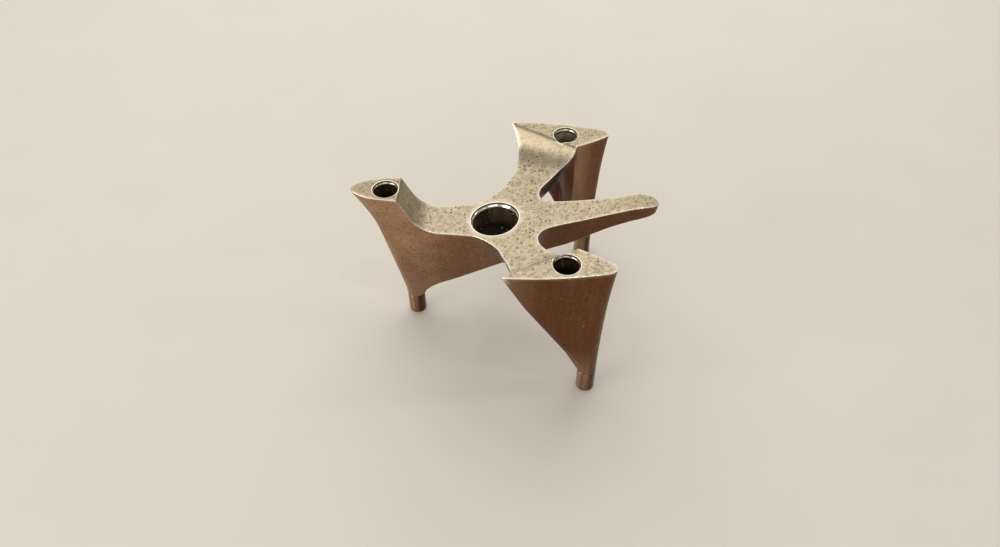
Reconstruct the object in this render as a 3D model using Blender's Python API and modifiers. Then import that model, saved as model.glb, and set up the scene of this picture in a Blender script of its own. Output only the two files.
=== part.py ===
"""Three-legged cast candle holder with a finger handle, four candle cups and three foot pins.

The casting is one smooth wall, lofted from the outline of its top to the outline of its underside.
Stations around half of the outline pair a point of the top edge with a point of the bottom edge.
Lengths are in millimetres here and become metres in the meshes. The hub's axis is x = y = 0 in the
drawing frame; the finished part is shifted so that its origin is the middle of its footprint.
"""
import math

import bmesh
import bpy
from mathutils import Vector
from mathutils.geometry import delaunay_2d_cdt

# ---- driving dimensions, mm -------------------------------------------------------------------
MM = 0.001
HUB_X = -4.45                # the hub's axis, from the middle of the overall length
GAP = 0.3                    # clearance between neighbouring pieces

HUB_TOP = 68.6               # top of the hub on its axis
TOP_SLOPE = 0.11             # the top rises towards the handle
TOP_CURVE = 0.00138          # and rises faster the further out it goes
TIP_ROLL_FROM = 66.0         # where the handle's top starts to roll over
TIP_ROLL = 0.025
HEAD_TOP = 85.8              # the flat top of the three heads

FILLET_RADIUS = 16.6         # hollow between an arm and its head
FILLET_SLOPE = 2.0           # rise over run of the face above the hollow
LEFT_INNER = 46.0            # hub axis to the inner edge of the left head
SIDE_INNER = 51.4            # hub axis to the inner edge of the two side heads
SIDE_ANGLE = math.radians(60.0)

PIN_TOP = 13.5               # where a leg ends and its foot pin begins
PIN_RADIUS = 4.6
PIN_CHAMFER = 0.5
SHANK_RADIUS = 2.6
SHANK_LENGTH = 11.0
SHANK_CHAMFER = 0.4
LEFT_FOOT = (-43.8, 0.0)
SIDE_FOOT_ALONG, SIDE_FOOT_ACROSS = 65.8, 17.3

HUB_BORE = 12.0              # radius of the hub's bore
HUB_RECESS = 1.1             # its cup's rim sits this far below the hub's top
HUB_CUP_DEPTH = 15.9         # from the cup's rim to its floor
HUB_CUP_WALL = 0.4
HEAD_BORE = 6.3              # radius of the heads' bores
HEAD_RECESS = 1.0
HEAD_CUP_DEPTH = 14.0
HEAD_CUP_WALL = 0.6
CUP_CORNER_IN = 0.8          # chamfer inside a cup's floor
CUP_CORNER_OUT = 1.2         # and outside it
LEAN_REACH = 0.6             # share of the hub cup's depth that leans with its rim
LEFT_HOLE = (-52.5, 0.0)
SIDE_HOLE_ALONG, SIDE_HOLE_ACROSS = 57.3, 6.5

ARM_UNDER = 55.0             # underside of the two side arms
ARM_UNDER_HALF = 4.4         # half width of their undersides
HUB_PAD = 44.6               # underside of the hub's thick middle
HUB_PAD_SLOPE = 0.33
HUB_PAD_RADIUS = 8.0
FOOT_BLEND = 0.06            # how softly a leg runs into its pin
CORNER_BLEND = 1.5           # the same below a side head's round corner
BEAK_FROM = 0.68             # the share of a leg's height where its head starts to overhang
BEAK_POWER = 1.6

STEPS_BETWEEN = 3            # samples between two stations
WALL_RINGS = (1.0, 0.88, 0.7, 0.48, 0.26, 0.1, 0.0)
TOP_GRID = 6.5
UNDER_GRID = 6.0
EDGE_CLEAR = 1.3             # grid points keep this far from an outline
FILLET_ROWS = (0.0, 2.2, 4.4, 6.8, 9.4, 12.4, 16.0)    # rows of points, inward of a head's edge
ROW_SPACING = 2.6            # along those rows
PAD_POINTS = 16              # points around each flat of the underside
PAD_INSET = 0.5
RING_CLEAR = 1.5             # grid points keep this far from those rings
RELAX_PASSES = 80
LARGE_STEPS = 36             # facets around the hub's cup and the bores
SMALL_STEPS = 24             # facets around the small cups and the pins
BORE_OVERSHOOT = 8.0         # the cutters stand this far above the cups' rims
PIN_OVERSHOOT = 2.0          # and below the legs' ends
SMOOTH_ANGLE = math.radians(35.0)

COLLECTION = "tripod_candle_holder"


# ---- small geometry helpers ---------------------------------------------------------------------
def side_xy(along, across):
    """A point in the back arm's own frame: along the arm, and across it towards the handle."""
    c = math.cos(SIDE_ANGLE)
    s = math.sin(SIDE_ANGLE)
    return along * c + across * s, along * s - across * c


def on_circle(centre, radius, degrees):
    angle = math.radians(degrees)
    return centre[0] + radius * math.cos(angle), centre[1] + radius * math.sin(angle)


SIDE_FOOT = side_xy(SIDE_FOOT_ALONG, SIDE_FOOT_ACROSS)
SIDE_HOLE = side_xy(SIDE_HOLE_ALONG, SIDE_HOLE_ACROSS)


def hub_surface(x):
    z = HUB_TOP + TOP_SLOPE * x + TOP_CURVE * x * x
    return z - TIP_ROLL * max(0.0, x - TIP_ROLL_FROM) ** 2


def fillet_rise(drop, inward):
    """Height of the hollow above the arm, `inward` of the head's inner edge."""
    angle = math.atan(FILLET_SLOPE)
    arc_rise = FILLET_RADIUS * (1.0 - math.cos(angle))
    arc_run = FILLET_RADIUS * math.sin(angle)
    straight = (drop - arc_rise) / FILLET_SLOPE
    if inward <= 0.0:
        return drop
    if inward <= straight:
        return drop - FILLET_SLOPE * inward
    left = straight + arc_run - inward
    if left <= 0.0:
        return 0.0
    return FILLET_RADIUS - math.sqrt(FILLET_RADIUS ** 2 - left ** 2)


def top_height(x, y):
    """Height of the casting's top surface."""
    base = hub_surface(x)
    inward = None
    if x < -10.0:
        inward = LEFT_INNER + x
    elif abs(y) > 20.0:
        inward = SIDE_INNER - (x * math.cos(SIDE_ANGLE) + abs(y) * math.sin(SIDE_ANGLE))
    if inward is None:
        return base
    return base + fillet_rise(HEAD_TOP - base, inward)


def leg_face_height(along):
    """Height of the sloping inner face of a side leg, `along` the arm."""
    reach = SIDE_FOOT_ALONG - PIN_RADIUS - SIDE_INNER
    return HEAD_TOP - (along - SIDE_INNER) * (HEAD_TOP - PIN_TOP) / reach


# ---- stations around half of the outline, from the left tip to the handle's tip -----------------
class Station:
    """One point of the top edge, the point of the bottom edge under it, and how they are joined."""

    def __init__(self, top, under, leg=0.0, beak=0.0, corner=False, blend=FOOT_BLEND):
        self.top = top
        self.under = under
        self.leg = leg
        self.beak = beak
        self.corner = corner
        self.blend = blend


def pin_point(foot, degrees):
    x, y = on_circle(foot, PIN_RADIUS, degrees)
    return x, y, PIN_TOP


def arm_under(along, across):
    x, y = side_xy(along, across)
    return x, y, ARM_UNDER


def leg_face(along, across):
    x, y = side_xy(along, across)
    return x, y, leg_face_height(along)


def left_stations():
    foot = LEFT_FOOT
    tip = (-66.4, 0.0)
    tip_radius = 3.4
    beak = 0.28
    return [
        Station(on_circle(tip, tip_radius, 180.0), pin_point(foot, 180.0), 1.0, beak),
        Station(on_circle(tip, tip_radius, 145.0), pin_point(foot, 158.0), 1.0, beak),
        Station(on_circle(tip, tip_radius, 115.0), pin_point(foot, 140.0), 1.0, beak),
        Station((-61.8, 6.3), pin_point(foot, 118.0), 1.0, beak * 0.8),
        Station((-55.4, 7.8), pin_point(foot, 104.0), 1.0, beak * 0.5),
        Station((-46.0, 8.85), pin_point(foot, 92.0), 1.0, 0.0, True),
        Station((-42.6, 9.0), (-41.8, 4.8, 13.7), 0.8),
        Station((-39.4, 9.2), (-38.6, 4.8, 16.2), 0.5),
        Station((-36.4, 9.4), (-36.2, 4.9, 20.2), 0.25),
        Station((-31.0, 9.8), (-30.2, 5.5, 25.2)),
        Station((-21.3, 10.6), (-20.0, 7.0, 31.7)),
        Station((-10.6, 12.0), (-9.4, 9.1, 39.4)),
        Station((-5.3, 14.4), (-3.6, 10.9, 44.3)),
        Station((-1.4, 17.7), (1.2, 13.4, 49.4)),
    ]


def side_stations():
    half = ARM_UNDER_HALF
    foot = SIDE_FOOT
    soft = CORNER_BLEND
    return [
        Station((2.3, 21.9), (5.8, 16.8, 54.4)),
        Station((4.7, 26.6), arm_under(24.0, -half)),
        Station((7.5, 32.0), arm_under(31.0, -half)),
        Station((9.5, 38.3), arm_under(39.0, -half)),
        Station((10.0, 47.0), arm_under(48.0, -half)),
        Station((8.2, 52.0), arm_under(53.6, -half)),
        Station((7.0, 54.2), leg_face(56.6, -3.2), 0.3, -0.06, True),
        Station((6.3, 55.4), leg_face(58.6, 4.5), 0.8, -0.08),
        Station((7.2, 56.1), pin_point(foot, 130.0), 1.0, -0.08, True),
        Station((9.4, 56.2), pin_point(foot, 96.0), 1.0, -0.07),
        Station((21.3, 55.9), pin_point(foot, 90.0), 1.0, -0.04),
        Station((32.0, 55.0), pin_point(foot, 86.0), 1.0, 0.0, False, soft * 0.2),
        Station((43.0, 53.4), pin_point(foot, 82.0), 1.0, 0.05, False, soft * 0.5),
        Station((52.2, 51.7), pin_point(foot, 75.0), 1.0, 0.16, False, soft),
        Station((55.6, 50.0), pin_point(foot, 45.0), 1.0, 0.2, False, soft),
        Station((56.6, 47.6), pin_point(foot, 5.0), 1.0, 0.2, False, soft),
        Station((54.9, 45.3), pin_point(foot, -35.0), 1.0, 0.2, False, soft),
        Station((48.2, 40.9), pin_point(foot, -58.0), 1.0, 0.05, False, soft * 0.5),
        Station((39.7, 36.5), pin_point(foot, -75.0), 1.0, 0.0, True),
        Station((39.2, 35.3), pin_point(foot, -110.0), 1.0),
        Station((38.0, 34.2), pin_point(foot, -150.0), 0.8),
        Station((35.6, 32.8), leg_face(58.0, 8.0), 0.3),
        Station((32.8, 31.2), arm_under(54.4, half)),
        Station((29.7, 28.8), arm_under(46.0, half)),
        Station((26.0, 24.8), arm_under(37.4, half)),
        Station((22.9, 20.6), arm_under(29.8, half + 0.2)),
    ]


def handle_stations():
    return [
        Station((21.6, 16.4), (17.6, 17.2, 54.6)),
        Station((22.6, 12.6), (18.8, 10.6, 52.2)),
        Station((25.6, 10.2), (22.6, 6.4, 52.4)),
        Station((30.5, 8.9), (29.0, 4.7, 53.8)),
        Station((37.0, 8.0), (37.5, 4.4, 57.4)),
        Station((46.0, 7.0), (46.9, 4.1, 62.9)),
        Station((55.4, 6.0), (56.3, 3.8, 68.1)),
        Station((64.5, 5.5), (65.4, 3.7, 72.3)),
        Station((69.6, 5.4), (70.2, 3.8, 74.2)),
        Station((74.2, 4.4), (74.4, 3.2, 75.6)),
        Station((77.3, 2.7), (77.0, 1.9, 76.4)),
        Station((78.7, 0.0), (78.0, 0.0, 76.7)),
    ]


# ---- the loft -------------------------------------------------------------------------------------
def spline(p0, p1, p2, p3, t):
    """Catmull-Rom point between p1 and p2, for tuples of any length."""
    return tuple(
        0.5 * (2.0 * b + (c - a) * t + (2.0 * a - 5.0 * b + 4.0 * c - d) * t * t
               + (3.0 * b - a - 3.0 * c + d) * t ** 3)
        for a, b, c, d in zip(p0, p1, p2, p3))


def mirrored(values):
    """The same tuple on the other side of the y = 0 plane."""
    return (values[0], -values[1]) + tuple(values[2:])


def sample_half():
    """Top point, bottom point, leg and beak shares and foot blend along half of the outline."""
    stations = left_stations() + side_stations() + handle_stations()
    tops = [s.top for s in stations]
    unders = [s.under for s in stations]
    last = len(stations) - 1
    samples = []
    for i in range(last):
        before = i - 1 if i > 0 else None
        after = i + 2 if i + 2 <= last else None
        top_before = mirrored(tops[1]) if before is None else tops[before]
        under_before = mirrored(unders[1]) if before is None else unders[before]
        top_after = mirrored(tops[last - 1]) if after is None else tops[after]
        under_after = mirrored(unders[last - 1]) if after is None else unders[after]
        if stations[i].corner:
            top_before = tops[i]
        if stations[i + 1].corner:
            top_after = tops[i + 1]
        for k in range(STEPS_BETWEEN):
            t = k / STEPS_BETWEEN
            top = spline(top_before, tops[i], tops[i + 1], top_after, t)
            under = spline(under_before, unders[i], unders[i + 1], under_after, t)
            under = (under[0], under[1], max(PIN_TOP, under[2]))
            leg = stations[i].leg * (1.0 - t) + stations[i + 1].leg * t
            beak = stations[i].beak * (1.0 - t) + stations[i + 1].beak * t
            blend = stations[i].blend * (1.0 - t) + stations[i + 1].blend * t
            samples.append((top, under, leg, beak, blend))
    end = stations[last]
    samples.append((end.top, end.under, end.leg, end.beak, end.blend))
    return samples


def sample_outline():
    """The whole outline, counter-clockwise from above, starting at the handle's tip."""
    half = sample_half()
    half.reverse()
    other = [(mirrored(s[0]), mirrored(s[1])) + s[2:] for s in half[1:-1]]
    other.reverse()
    return half + other


def run_in(level, beak, blend):
    """How far a leg's wall has moved out from its pin at a level of 0 (pin) to 1 (top)."""
    soft = math.sqrt(level * level + blend ** 2) - blend
    soft /= math.sqrt(1.0 + blend ** 2) - blend
    hooked = max(0.0, (level - BEAK_FROM) / (1.0 - BEAK_FROM)) ** BEAK_POWER
    return (1.0 - beak) * soft + beak * hooked


def wall_point(sample, level):
    top, under, leg, beak, blend = sample
    top_z = top_height(*top)
    across = level * (1.0 - leg) + run_in(level, beak, blend) * leg
    x = under[0] + (top[0] - under[0]) * across
    y = under[1] + (top[1] - under[1]) * across
    return x, y, under[2] + (top_z - under[2]) * level


def distance_to_loop(x, y, loop):
    nearest = 1e9
    for (ax, ay), (bx, by) in zip(loop, loop[1:] + loop[:1]):
        dx, dy = bx - ax, by - ay
        share = max(0.0, min(1.0, ((x - ax) * dx + (y - ay) * dy) / (dx * dx + dy * dy + 1e-12)))
        nearest = min(nearest, math.hypot(x - ax - dx * share, y - ay - dy * share))
    return nearest


def grid_points(spacing, loop, keep_clear):
    """Grid points over the loop's box that stay clear of the loop."""
    xs = [p[0] for p in loop]
    ys = [p[1] for p in loop]
    columns = int((max(xs) - min(xs)) / spacing)
    rows = int(max(ys) / spacing)
    points = []
    for i in range(columns + 1):
        for j in range(-rows, rows + 1):
            x = min(xs) + i * spacing
            y = j * spacing
            if distance_to_loop(x, y, loop) > keep_clear:
                points.append((x, y))
    return points


def fillet_rows(loop):
    """Rows of points across the hollows and along the heads' inner edges."""
    points = []
    for inward in FILLET_ROWS:
        for k in range(-3, 4):
            points.append((inward - LEFT_INNER, k * ROW_SPACING))
        for k in range(-8, 7):
            x, y = side_xy(SIDE_INNER - inward, k * ROW_SPACING)
            points.append((x, y))
            points.append((x, -y))
    return [p for p in points if distance_to_loop(p[0], p[1], loop) > EDGE_CLEAR * 0.6]


def fill_loop(mesh, ring, loop, inner, height):
    """Fills the ring of vertices with triangles through the inner points."""
    flat = [Vector(p) for p in loop] + [Vector(p) for p in inner]
    edges = [(i, (i + 1) % len(loop)) for i in range(len(loop))]
    verts, _, faces, sources, _, _ = delaunay_2d_cdt(flat, edges, [], 1, 1e-4)
    used = sorted({index for face in faces for index in face})
    made = {}
    fresh = []
    for index in used:
        point = verts[index]
        if sources[index] and min(sources[index]) < len(loop):
            made[index] = ring[min(sources[index])]
            continue
        made[index] = mesh.verts.new((point.x, point.y, height(point.x, point.y)))
        fresh.append(made[index])
    for face in faces:
        mesh.faces.new([made[index] for index in face])
    return fresh


def under_height(x, y):
    """First guess for the underside, before it is relaxed."""
    return HUB_PAD + HUB_PAD_SLOPE * x


def is_fixed_under(x, y):
    """The legs' flat ends, and the thick middle of the hub."""
    if math.hypot(x - LEFT_FOOT[0], y) < PIN_RADIUS:
        return PIN_TOP
    if math.hypot(x - SIDE_FOOT[0], abs(y) - SIDE_FOOT[1]) < PIN_RADIUS:
        return PIN_TOP
    if math.hypot(x, y) < HUB_PAD_RADIUS:
        return HUB_PAD + HUB_PAD_SLOPE * x
    return None


def under_points(loop):
    """Points of the underside: a grid, the legs' ends and the hub's thick middle."""
    points = grid_points(UNDER_GRID, loop, EDGE_CLEAR)
    feet = [LEFT_FOOT, SIDE_FOOT, mirrored(SIDE_FOOT)]
    rings = [(foot, PIN_RADIUS - PAD_INSET) for foot in feet]
    rings.append(((0.0, 0.0), HUB_PAD_RADIUS - PAD_INSET))
    keep = [p for p in points
            if all(abs(math.hypot(p[0] - c[0], p[1] - c[1]) - r) > RING_CLEAR for c, r in rings)]
    for centre, radius in rings:
        for k in range(PAD_POINTS):
            x, y = on_circle(centre, radius, 360.0 * (k + 0.5) / PAD_POINTS)
            if distance_to_loop(x, y, loop) > 0.3:
                keep.append((x, y))
    return keep


def casting_mesh():
    """The closed wall, top and underside of the casting, without its bores."""
    samples = sample_outline()
    mesh = bmesh.new()
    rings = [[mesh.verts.new(wall_point(s, level)) for s in samples] for level in WALL_RINGS]
    count = len(samples)
    for upper, lower in zip(rings, rings[1:]):
        for i in range(count):
            j = (i + 1) % count
            mesh.faces.new((upper[i], lower[i], lower[j], upper[j]))
    top_loop = [tuple(s[0]) for s in samples]
    inner = [p for p in grid_points(TOP_GRID, top_loop, EDGE_CLEAR)
             if abs(top_height(*p) - hub_surface(p[0])) < 0.1 or top_height(*p) == HEAD_TOP]
    fill_loop(mesh, rings[0], top_loop, inner + fillet_rows(top_loop), top_height)
    under_loop = [(s[1][0], s[1][1]) for s in samples]
    under = fill_loop(mesh, rings[-1], under_loop, under_points(under_loop), under_height)
    for vert in under:
        fixed = is_fixed_under(vert.co.x, vert.co.y)
        if fixed is not None:
            vert.co.z = fixed
    loose = [v for v in under if is_fixed_under(v.co.x, v.co.y) is None]
    for _ in range(RELAX_PASSES):
        heights = [sum(e.other_vert(v).co.z for e in v.link_edges) / len(v.link_edges) for v in loose]
        for vert, height in zip(loose, heights):
            vert.co.z = height
    bmesh.ops.recalc_face_normals(mesh, faces=mesh.faces[:])
    bmesh.ops.scale(mesh, vec=(MM, MM, MM), verts=mesh.verts[:])
    return mesh


# ---- objects --------------------------------------------------------------------------------------
def material(name, colour, roughness, metallic=1.0):
    made = bpy.data.materials.new(name)
    made.use_nodes = True
    shader = made.node_tree.nodes["Principled BSDF"]
    shader.inputs["Base Color"].default_value = (*colour, 1.0)
    shader.inputs["Roughness"].default_value = roughness
    shader.inputs["Metallic"].default_value = metallic
    return made


def add_object(name, mesh, collection, finish, location=(0.0, 0.0, 0.0)):
    data = bpy.data.meshes.new(name)
    mesh.to_mesh(data)
    mesh.free()
    data.shade_smooth()
    data.set_sharp_from_angle(angle=SMOOTH_ANGLE)
    if finish is not None:
        data.materials.append(finish)
    made = bpy.data.objects.new(name, data)
    made.location = [value * MM for value in location]
    collection.objects.link(made)
    return made


def turned(name, profile, collection, finish, location, steps):
    """A turned piece from a profile of (radius, height) that runs down its outer side."""
    mesh = bmesh.new()
    verts = [mesh.verts.new((r * MM, 0.0, z * MM)) for r, z in profile]
    for a, b in zip(verts, verts[1:]):
        mesh.edges.new((a, b))
    made = add_object(name, mesh, collection, finish, location)
    screw = made.modifiers.new("turn", "SCREW")
    screw.steps = steps
    screw.render_steps = steps
    screw.use_merge_vertices = True
    screw.merge_threshold = 0.00001
    screw.use_smooth_shade = True
    return made


def cut(body, cutter):
    boolean = body.modifiers.new("bore_" + cutter.name, "BOOLEAN")
    boolean.operation = "DIFFERENCE"
    boolean.solver = "EXACT"
    boolean.object = cutter
    cutter.hide_render = True
    cutter.display_type = "WIRE"


def cylinder_profile(radius, low, high):
    return [(0.0, high), (radius, high), (radius, low), (0.0, low)]


def cup_profile(bore, depth, wall):
    """A drawn cup with a rounded lip, its rim at height 0."""
    outer = bore - GAP
    inner = outer - wall
    lip = wall / 2.0
    centre = outer - lip
    arc = [(centre + lip * math.sin(a), lip * math.cos(a) - lip)
           for a in (math.radians(d) for d in (-90.0, -45.0, 0.0, 45.0, 90.0))]
    inside = [(0.0, -depth), (inner - CUP_CORNER_IN, -depth), (inner, -depth + CUP_CORNER_IN)]
    outside = [(outer, -depth - wall + CUP_CORNER_OUT), (outer - CUP_CORNER_OUT, -depth - wall),
               (0.0, -depth - wall)]
    return inside + arc + outside


def pin_profile():
    """A foot pin from the floor up, with a thinner shank that enters the leg."""
    top = PIN_TOP - GAP
    end = top + SHANK_LENGTH
    return [(0.0, end), (SHANK_RADIUS - SHANK_CHAMFER, end), (SHANK_RADIUS, end - SHANK_CHAMFER),
            (SHANK_RADIUS, top), (PIN_RADIUS, top),
            (PIN_RADIUS, PIN_CHAMFER), (PIN_RADIUS - PIN_CHAMFER, 0.0), (0.0, 0.0)]


def lean_lip(cup, depth):
    """Lets the rim of the hub's cup follow the slope of the hub, its floor staying level."""
    for vert in cup.data.vertices:
        share = max(0.0, min(1.0, 1.0 + vert.co.z / (depth * MM * LEAN_REACH)))
        vert.co.z += TOP_SLOPE * vert.co.x * share


def bake_turn(made):
    """Makes the turned form a plain mesh, so that it can be sheared."""
    graph = bpy.context.evaluated_depsgraph_get()
    baked = bpy.data.meshes.new_from_object(made.evaluated_get(graph))
    made.modifiers.clear()
    made.data = baked


def build():
    for old in list(bpy.data.objects):
        bpy.data.objects.remove(old, do_unlink=True)
    parts = bpy.data.collections.new(COLLECTION)
    cutters = bpy.data.collections.new("cutters")
    for collection in (parts, cutters):
        bpy.context.scene.collection.children.link(collection)
    satin = material("satin_nickel", (0.52, 0.46, 0.37), 0.42)
    bright = material("bright_nickel", (0.72, 0.70, 0.66), 0.12)
    ground = material("ground_nickel", (0.50, 0.44, 0.37), 0.28)

    body = add_object("body_casting", casting_mesh(), parts, satin, (HUB_X, 0.0, 0.0))

    large = (HUB_BORE, HUB_CUP_DEPTH, HUB_CUP_WALL)
    small = (HEAD_BORE, HEAD_CUP_DEPTH, HEAD_CUP_WALL)
    cups = {
        "left_candle_cup": (LEFT_HOLE, HEAD_TOP - HEAD_RECESS, small, SMALL_STEPS),
        "back_candle_cup": (SIDE_HOLE, HEAD_TOP - HEAD_RECESS, small, SMALL_STEPS),
        "front_candle_cup": (mirrored(SIDE_HOLE), HEAD_TOP - HEAD_RECESS, small, SMALL_STEPS),
        "center_candle_cup": ((0.0, 0.0), HUB_TOP - HUB_RECESS, large, LARGE_STEPS),
    }
    for name, (place, rim, (bore, depth, wall), steps) in cups.items():
        at = (place[0] + HUB_X, place[1], rim)
        cup = turned(name, cup_profile(bore, depth, wall), parts, bright, at, steps)
        bore_cut = cylinder_profile(bore, -depth - wall - GAP, BORE_OVERSHOOT)
        cut(body, turned("bore_for_" + name, bore_cut, cutters, None, at, LARGE_STEPS))
        if steps == LARGE_STEPS:
            bake_turn(cup)
            lean_lip(cup, depth)

    feet = {"left_foot_pin": LEFT_FOOT, "back_foot_pin": SIDE_FOOT, "front_foot_pin": mirrored(SIDE_FOOT)}
    for name, place in feet.items():
        at = (place[0] + HUB_X, place[1], 0.0)
        turned(name, pin_profile(), parts, ground, at, SMALL_STEPS)
        top = PIN_TOP + SHANK_LENGTH + GAP
        cutter = cylinder_profile(SHANK_RADIUS + GAP, PIN_TOP - PIN_OVERSHOOT, top)
        cut(body, turned("bore_for_" + name, cutter, cutters, None, at, SMALL_STEPS))


build()
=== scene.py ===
"""Looks for the tripod candle holder: a finely meshed casting, drawn cups, turned pins, and a studio.

The casting repeats the outline stations and the top surface of the CAD source, in the same drawing
frame: millimetres, the hub's axis at x = y = 0. It adds rounded edges and a shallow dish around each
bore. Everything becomes metres in the row frame when it is turned into an object.
"""
import math

import bmesh
import bpy
import numpy as np
from mathutils import Matrix, Vector
from mathutils.geometry import delaunay_2d_cdt


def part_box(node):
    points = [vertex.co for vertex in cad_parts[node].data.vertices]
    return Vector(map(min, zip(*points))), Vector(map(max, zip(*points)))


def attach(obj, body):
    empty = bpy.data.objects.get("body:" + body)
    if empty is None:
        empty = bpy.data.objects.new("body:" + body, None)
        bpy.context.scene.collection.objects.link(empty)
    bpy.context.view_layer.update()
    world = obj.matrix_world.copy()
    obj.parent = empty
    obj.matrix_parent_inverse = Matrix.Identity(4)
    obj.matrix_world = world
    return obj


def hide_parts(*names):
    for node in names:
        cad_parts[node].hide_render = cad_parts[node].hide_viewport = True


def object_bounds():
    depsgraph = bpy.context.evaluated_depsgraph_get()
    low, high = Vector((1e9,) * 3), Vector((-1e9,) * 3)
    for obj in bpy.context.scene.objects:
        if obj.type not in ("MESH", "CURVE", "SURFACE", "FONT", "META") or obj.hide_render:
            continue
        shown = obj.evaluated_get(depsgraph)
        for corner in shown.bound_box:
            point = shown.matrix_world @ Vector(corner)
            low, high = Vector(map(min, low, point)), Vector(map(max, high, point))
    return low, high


# ---- dimensions shared with the CAD source, mm -------------------------------
MM = 0.001
HUB_TOP = 68.6
TOP_SLOPE = 0.11
TOP_CURVE = 0.00138
TIP_ROLL_FROM = 66.0
TIP_ROLL = 0.025
HEAD_TOP = 85.8
FILLET_RADIUS = 16.6
FILLET_SLOPE = 2.0
LEFT_INNER = 46.0
SIDE_INNER = 51.4
SIDE_ANGLE = math.radians(60.0)
GAP = 0.3
PIN_TOP = 13.5
PIN_RADIUS = 4.6
SHANK_RADIUS = 2.6
SHANK_LENGTH = 11.0
LEFT_FOOT = (-43.8, 0.0)
SIDE_FOOT_ALONG, SIDE_FOOT_ACROSS = 65.8, 17.3
HUB_BORE, HUB_RECESS, HUB_CUP_DEPTH, HUB_CUP_WALL = 12.0, 1.1, 15.9, 0.4
HEAD_BORE, HEAD_RECESS, HEAD_CUP_DEPTH, HEAD_CUP_WALL = 6.3, 1.0, 14.0, 0.6
LEFT_HOLE = (-52.5, 0.0)
SIDE_HOLE_ALONG, SIDE_HOLE_ACROSS = 57.3, 6.5
ARM_UNDER = 55.0
ARM_UNDER_HALF = 4.4
FOOT_BLEND = 0.06
CORNER_BLEND = 1.5
HUB_PAD, HUB_PAD_SLOPE, HUB_PAD_RADIUS = 44.6, 0.33, 8.0
BEAK_FROM, BEAK_POWER = 0.68, 1.6

# ---- how finely the looks are made, mm ---------------------------------------
SPACING = 0.9                # samples around the outline
BESIDE_CORNER = (0.14, 0.32, 0.56)
WALL_STEPS = 24
TOP_GRID = 1.4
UNDER_GRID = 1.8
EDGE_ROUND = 0.36            # rounding of the top edge
LIP_ROUND = 0.3              # rounding of the heads' inner edges
RIM_ROUND = 0.25             # rounding of the bores' rims
HUB_LIP, HEAD_LIP = (0.7, 1.05), (0.4, 0.6)    # width and drop of the cups' sloping lips
DISH_DEPTH = 0.25            # shallow dish that leads into each bore
HUB_DISH, HEAD_DISH = 1.6, 0.8   # width of the dish
PIN_END_ROUND = 0.25         # rounding where a leg ends on its pin
ARM_ROUND = 0.55             # rounding along the undersides
SEAM = 0.14                  # visible seam around a cup
PIN_SEAM = 0.02              # and between a leg and its pin
CUP_FLOOR_ROUND = 3.0        # rounding inside a cup's floor
CUP_OUTER_ROUND = 1.2        # and outside it
CUP_MIDDLE = 8.0             # depth of the extra ring on a cup's wall
PIN_FLOOR_ROUND = 0.5        # softened edge that a pin stands on
PIN_SHOULDER_ROUND = 0.2
SHANK_CHAMFER = 0.4
LEAN_REACH = 0.6             # share of the hub cup's depth that leans with its rim
NUB = (6.5, 55.6)            # the side heads' narrow inner corners, which carry a painted highlight
LIP_SHADE_WIDTH = 1.1        # width of the painted shadow line under a head's inner edge
LEFT_REGION = -10.0          # left of this x the left head is the nearest one
SIDE_REGION = 20.0           # further from the middle than this, a side head is
ROW_SHARE = 0.866            # row spacing of a staggered grid, as a share of its spacing
RELAX_PASSES = 900           # smoothing passes over the underside
INSET_KEEPS = 0.35           # least share of its length that an inset edge keeps
INSET_EASE = 0.85            # factor that an inset shrinks by where it would keep less
INSET_TRIES = 60             # and how many times at most
CHUNK = 500                  # points measured at a time
FOOT_RING = 0.7              # a ring of points this far inside the rim of a leg's flat end
HUB_RINGS = (0.5, 1.0, 1.6)  # extra rings of points around the hub's bore
HEAD_RINGS = (0.35, 0.7, 1.0)    # and around the heads' bores
UNDER_START, UNDER_START_SLOPE = 45.0, 0.3   # the underside before it is smoothed

# ---- places and colours that several materials use ---------------------------
NOTCH_END = (0.0345, 0.0355)      # the x over which the painted shade in the notch at the back leg ends, m
# the white of the hub cup's plate, and of the painted glints on the cups' lips
PLATE_AND_GLINT_WHITE = (0.95, 0.92, 0.86)

# ---- the camera: lens in mm, angles in degrees, places in metres -------------
LENS, SENSOR_WIDTH = 27.97, 36.0
AZIMUTH, ELEVATION, ROLL = 3.585, 46.86, -0.772
CAMERA_DISTANCE = 0.39343
AIM = (-0.00143, -0.0128, -0.0003)    # from the middle of the object's box


# ---- heights and outline -----------------------------------------------------
def side_xy(along, across):
    """A point in the back arm's own frame: along the arm, and across it towards the handle."""
    c, s = math.cos(SIDE_ANGLE), math.sin(SIDE_ANGLE)
    return along * c + across * s, along * s - across * c


def on_circle(centre, radius, degrees):
    """A point of a circle, at an angle counter-clockwise from +X."""
    angle = math.radians(degrees)
    return centre[0] + radius * math.cos(angle), centre[1] + radius * math.sin(angle)


SIDE_FOOT = side_xy(SIDE_FOOT_ALONG, SIDE_FOOT_ACROSS)
SIDE_HOLE = side_xy(SIDE_HOLE_ALONG, SIDE_HOLE_ACROSS)


def hub_surface(x):
    """Height of the top along the hub and the handle, without heads or dishes."""
    z = HUB_TOP + TOP_SLOPE * x + TOP_CURVE * x * x
    return z - TIP_ROLL * max(0.0, x - TIP_ROLL_FROM) ** 2


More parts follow.
